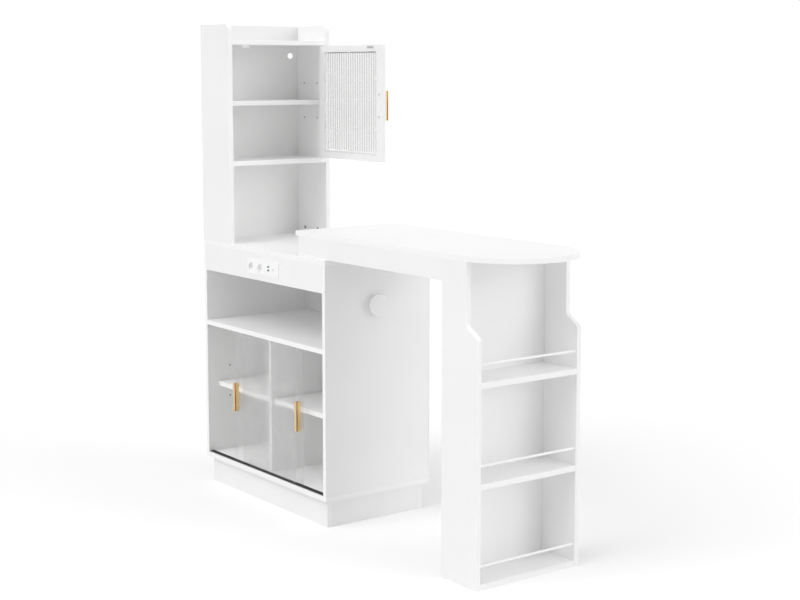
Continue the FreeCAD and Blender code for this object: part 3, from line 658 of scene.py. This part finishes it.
def square_tube(low, high, wall, corner):
    """A short tube with a rounded rectangular section, open along y, between two drawn corners in
    millimetres. Its wall is a small rectangle carried round the outline."""
    middle, half = middle_and_half(low, high)
    points = []
    for outer, inner in zip(outline(half[0], half[2], corner, 0.0),
                            outline(half[0], half[2], corner, wall)):
        for (x, z), y in ((outer, -half[1]), (outer, half[1]), (inner, half[1]), (inner, -half[1])):
            points.append((x, y, z))
    faces = []
    for step in range(0, len(points), 4):
        after = (step + 4) % len(points)
        for edge in range(4):
            other = (edge + 1) % 4
            faces.append((step + edge, step + other, after + other, after + edge))
    return outward(at(*middle) + np.array(points) * MILLIMETRE, faces)


def new_piece(name, shapes, material, body, replaces=()):
    """One mesh from several closed shapes, which rides on a body and takes the given material."""
    points, faces, count = [], [], 0
    for shape_points, shape_faces in shapes:
        points.append(shape_points)
        faces += [tuple(count + corner for corner in face) for face in shape_faces]
        count += len(shape_points)
    mesh = bpy.data.meshes.new(name)
    mesh.from_pydata(np.concatenate(points).tolist(), [], faces)
    mesh.polygons.foreach_set("use_smooth", np.ones(len(mesh.polygons), bool))
    mesh.set_sharp_from_angle(angle=SHARP_FROM)
    mesh.materials.append(material)
    piece = bpy.data.objects.new(name, mesh)
    bpy.context.scene.collection.objects.link(piece)
    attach(piece, body)
    if replaces:
        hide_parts(*replaces)


def lining(start, axis, radius, depth, wall, mouth, sides):
    """A thin lining for a blind hole, whose axis points into the hole. The profile runs over the
    bottom's inside, up the inner wall, round the points of the mouth, down the outer wall and
    back under the bottom."""
    inside = [(0.0, depth - wall), (radius - wall, depth - wall)]
    outside = [(radius, depth), (0.0, depth)]
    return turned(inside + mouth + outside, start, axis, sides)


def pin_sleeve(start):
    """The lining of a pin hole, whose lip is just inside the hole."""
    mouth = [(PIN_RADIUS - PIN_WALL, PIN_LIP), (PIN_RADIUS, PIN_LIP)]
    return lining(start, (0, 1, 0), PIN_RADIUS, PIN_DEPTH, PIN_WALL, mouth, sides=20)


def bracket_sleeve(start, axis):
    """The lining of a bracket hole, with a thin round flange on the board and a softened rim."""
    mouth = [(SLEEVE_RADIUS - SLEEVE_WALL, -FLANGE_HEIGHT * 0.8),
             (SLEEVE_RADIUS - SLEEVE_WALL * 0.6, -FLANGE_HEIGHT),
             (FLANGE_RADIUS - 0.3, -FLANGE_HEIGHT), (FLANGE_RADIUS, -FLANGE_HEIGHT * 0.4),
             (FLANGE_RADIUS, -SEAT_GAP), (SLEEVE_RADIUS, -SEAT_GAP)]
    return lining(start, axis, SLEEVE_RADIUS, SLEEVE_DEPTH, SLEEVE_WALL, mouth, sides=28)


def cross_recess(radius, angle, arm=2.1, half_width=0.42, depth=1.15):
    """The depth of a screw's cross recess. It falls away over the wall's width where the nearer of
    the two arms is left, over the end's length at the end of an arm, and by the slope for each
    millimetre from the middle."""
    wall, end, slope = 0.12, 0.30, 0.22
    off_arm = np.minimum(np.abs(radius * np.sin(angle)), np.abs(radius * np.cos(angle)))
    within = np.clip((half_width - off_arm) / wall + 0.5, 0.0, 1.0)
    along = np.clip((arm - radius) / end, 0.0, 1.0)
    return depth * within * along * (1.0 - slope * radius)


def small_recess(radius, angle):
    return cross_recess(radius, angle, arm=1.5, half_width=0.32, depth=0.5)


def pan_screw(seat, axis, plain_head, shank):
    """A pan head screw with a cross recess. The seat is the middle of the head's underside, and
    the axis points out of the head. The head's top is a shallow dome, just lower than the plain
    head, and the shank ends in a blunt cone."""
    head = plain_head - HEAD_SLACK
    drop, tip = 0.45, 1.2
    dome = [(share * HEAD_RADIUS * 0.93, head - drop * share ** 3, 1.0)
            for share in np.linspace(0.0, 1.0, 20)]
    rim = [(HEAD_RADIUS, head * 0.55, 0.0), (HEAD_RADIUS, 0.12, 0.0),
           (HEAD_RADIUS - 0.15, 0.0, 0.0)]
    stem = [(SHANK_RADIUS, 0.0, 0.0), (SHANK_RADIUS, -shank + tip, 0.0),
            (SHANK_RADIUS * 0.45, -shank, 0.0), (0.0, -shank, 0.0)]
    return turned(dome + rim + stem, seat, axis, sides=64, sink=cross_recess)


def flat_screw(seat, axis):
    """The low head of a countersunk screw with a cross recess, on a thin plate."""
    radius, head, drop, foot = 2.6, 0.38, 0.12, -0.30
    dome = [(share * radius, head - drop * share ** 2, 1.0)
            for share in np.linspace(0.0, 1.0, 14)]
    cone = [(radius, 0.02, 0.0), (radius * 0.6, foot, 0.0), (0.0, foot, 0.0)]
    return turned(dome + cone, seat, axis, sides=48, sink=small_recess)


def make_hole_sleeves(zinc):
    """Sleeves in the spare bracket holes of the sides, above and below each shelf bracket."""
    sleeves = [bracket_sleeve(at(face, y, CABINET_BRACKET_Z + step * CABINET_PITCH), (inward, 0, 0))
               for face, inward in CABINET_SIDES for y in CABINET_HOLE_Y for step in BOTH]
    sleeves += [bracket_sleeve(at(x, face, HUTCH_BRACKET_Z + step * HUTCH_PITCH), (0, inward, 0))
                for face, inward in HUTCH_SIDES for x in HUTCH_HOLE_X for step in BOTH]
    new_piece("bracket_hole_sleeves", sleeves, zinc, CABINET)


def make_handle_screws(name, node, body, outward_y, shank, steel):
    """The two screws of a handle, one over the other, in place of the plain ones. outward_y is
    the way along y that their heads face."""
    low, high, middle = box_middle(node)
    seat = (high if outward_y > 0 else low)[1] - outward_y * HANDLE_HEAD * MILLIMETRE
    heights = [middle[2] + side * HANDLE_SCREW_REACH * MILLIMETRE for side in BOTH]
    screws = [pan_screw((middle[0], seat, z), (0, outward_y, 0), HANDLE_HEAD, shank)
              for z in heights]
    new_piece(name, screws, steel, body, (node,))


def make_screws(steel):
    """Pan head screws in place of the plain ones in the handles and under the cabinet top, and
    the small screws of the strike plate."""
    make_handle_screws("door_handle_pan_screws", "door_handle_screws", DOOR, -1, DOOR_SHANK, steel)
    for side in ("left", "right"):
        node = "panel_screws_" + side
        make_handle_screws(node + "_pan", node, side + "_sliding_panel", 1, PANEL_SHANK, steel)
    low, high, _ = box_middle("table_screws")
    inset = TABLE_SCREW_INSET * MILLIMETRE
    seat = low[2] + TABLE_HEAD * MILLIMETRE
    screws = [pan_screw((x, y, seat), (0, 0, -1), TABLE_HEAD, TABLE_SHANK)
              for x in (low[0] + inset, high[0] - inset)
              for y in (low[1] + inset, high[1] - inset)]
    new_piece("table_pan_screws", screws, steel, CABINET, ("table_screws",))
    low, _, middle = box_middle("strike_plate")
    places = [middle[0] + side * STRIKE_SCREW_REACH * MILLIMETRE for side in BOTH]
    screws = [flat_screw((x, low[1], middle[2]), (0, -1, 0)) for x in places]
    new_piece("strike_screws", screws, steel, DOOR)


def around(x, z, half_width, half_height, front, back):
    """The low and the high corner of a box whose middle is at the given x and z."""
    return (x - half_width, front, z - half_height), (x + half_width, back, z + half_height)


def make_outlet_fittings(steel):
    """Inside the outlet: the sleeves of the pin holes, the steel shells, tongues and contacts of
    the charging ports, and the lens of the lamp."""
    sleeves = [pin_sleeve(at(x + side * PIN_REACH, PIN_MOUTH, SOCKET_Z))
               for x in SOCKET_X for side in BOTH]
    shells = [square_tube(*around(PORT_X, z, *PORT_SHELL), wall=0.35, corner=0.6) for z in PORT_Z]
    tongues = [rounded_block(*around(PORT_X, z, *layer), corner) for z in PORT_Z
               for layer, corner in ((PORT_BACK, 0.15), (PORT_TONGUE, 0.2))]
    contacts = [rounded_block(*around(PORT_X + step * CONTACT_PITCH, z - CONTACT_DROP,
                                      *PORT_CONTACT), corner=0.05)
                for z in PORT_Z for step in CONTACT_STEPS]
    dome = [(share * (LAMP_RADIUS - 0.1), LAMP_HEIGHT - LAMP_DROP * share ** 2)
            for share in np.linspace(0.0, 1.0, 10)]
    rim = [(LAMP_RADIUS, 0.25), (LAMP_RADIUS, SEAT_GAP), (0.0, SEAT_GAP)]
    lens = turned(dome + rim, at(*LAMP_MIDDLE), (0, -1, 0), sides=40)
    brass = metal_finish("contact_brass", CONTACT_COLOUR, roughness=0.30)
    black = plastic_finish("port_black", PORT_COLOUR, roughness=0.35)
    new_piece("socket_sleeves", sleeves, steel, CABINET)
    new_piece("port_shells", shells, steel, CABINET)
    new_piece("port_tongues", tongues, black, CABINET)
    new_piece("port_contacts", contacts, brass, CABINET)
    new_piece("lamp_lens", [lens], lens_finish(), CABINET)


def under_roof(y, half_width, back, proud, foot, top):
    """The low and the high corner of a piece of the catch whose middle is at the given y."""
    return ((CATCH_FRONT - back, y - half_width, CATCH_ROOF - foot),
            (CATCH_FRONT + proud, y + half_width, CATCH_ROOF - top))


def make_catch(steel, plastic):
    """The magnet of the catch: two thin steel plates that stand just proud of its front, with the
    white case of the magnet between them."""
    plates = [rounded_block(*under_roof(CATCH_MIDDLE + side * PLATE_REACH, *CATCH_PLATE),
                            corner=0.12) for side in BOTH]
    magnet = rounded_block(*under_roof(CATCH_MIDDLE, *CATCH_CASE), corner=0.05)
    new_piece("catch_plates", plates, steel, CABINET)
    new_piece("catch_magnet", [magnet], plastic, CABINET)


def make_fittings(finish_of):
    make_hole_sleeves(finish_of["dark_zinc"])
    make_screws(finish_of["bare_steel"])
    make_outlet_fittings(finish_of["bare_steel"])
    make_catch(finish_of["bare_steel"], finish_of["catch_plastic"])


def seen(finish):
    """1 for the rays that show a surface directly, in a mirror or through clear plastic."""
    camera, glossy, through = (finish.node("LightPath", out=kind) for kind in (
        "Is Camera Ray", "Is Glossy Ray", "Is Transmission Ray"))
    return (camera + glossy + through).clamped()


def make_floor():
    """A plain white floor. A little glow, for the eye only, brings its open part up to white, and
    the object's shadow stays on it."""
    finish = Finish("studio_floor")
    matt = finish.node("BsdfDiffuse", {}, {"Color": FLOOR_COLOUR})
    glow = finish.node("Emission", {}, {"Color": WHITE, "Strength": FLOOR_GLOW})
    both = finish.node("AddShader", {}, {0: matt, 1: glow})
    shader = finish.node("MixShader", {}, {0: seen(finish), 1: matt, 2: both})
    half = FLOOR_SIZE / 2
    corners = [(-half, -half, 0.0), (half, -half, 0.0), (half, half, 0.0), (-half, half, 0.0)]
    mesh = bpy.data.meshes.new("floor")
    mesh.from_pydata(corners, [], [(0, 1, 2, 3)])
    mesh.materials.append(finish.show(shader))
    floor = bpy.data.objects.new("floor", mesh)
    bpy.context.scene.collection.objects.link(floor)


def make_world():
    """A dome of light. It is even, apart from three wide soft patches, each a power of the cosine
    from its own direction: in front of the object, beyond its leg and above it. The eye and
    mirrors see the dome as white."""
    world = Finish("studio", kind="World")
    direction = world.node("TexCoord", out="Generated")
    light = DOME_LIGHT
    for towards, strength, power in SOFT_BOXES:
        unit = tuple(Vector(towards).normalized())
        cosine = world.node("VectorMath", {"operation": "DOT_PRODUCT"}, {0: direction, 1: unit},
                            out="Value")
        light = cosine.maths("MAXIMUM", 0.0).power(power) * strength + light
    level = world.node("MapRange", {}, {"Value": seen(world), "To Min": light, "To Max": 1.0})
    shader = world.node("Background", {}, {"Color": WHITE, "Strength": level})
    bpy.context.scene.world = world.show(shader)


def make_camera():
    """The photograph's viewpoint. The lens is shifted only so far that other views keep the whole
    object in the frame, and a slight downward turn does the rest."""
    data = bpy.data.cameras.new("camera")
    data.sensor_width = SENSOR
    data.lens = LENS
    data.shift_y = CAMERA_SHIFT
    camera = bpy.data.objects.new("camera", data)
    ahead = Vector((math.cos(CAMERA_YAW) * math.cos(CAMERA_PITCH),
                    math.sin(CAMERA_YAW) * math.cos(CAMERA_PITCH), -math.sin(CAMERA_PITCH)))
    camera.location = CAMERA_PLACE
    camera.rotation_euler = ahead.to_track_quat("-Z", "Y").to_euler()
    bpy.context.scene.collection.objects.link(camera)
    bpy.context.scene.camera = camera


make_fittings(dress_all())
make_floor()
make_world()
make_camera()
bpy.context.scene.view_settings.view_transform = "Standard"
bpy.context.scene.cycles.diffuse_bounces = DIFFUSE_BOUNCES
bpy.context.scene.cycles.max_bounces = 2 * DIFFUSE_BOUNCES
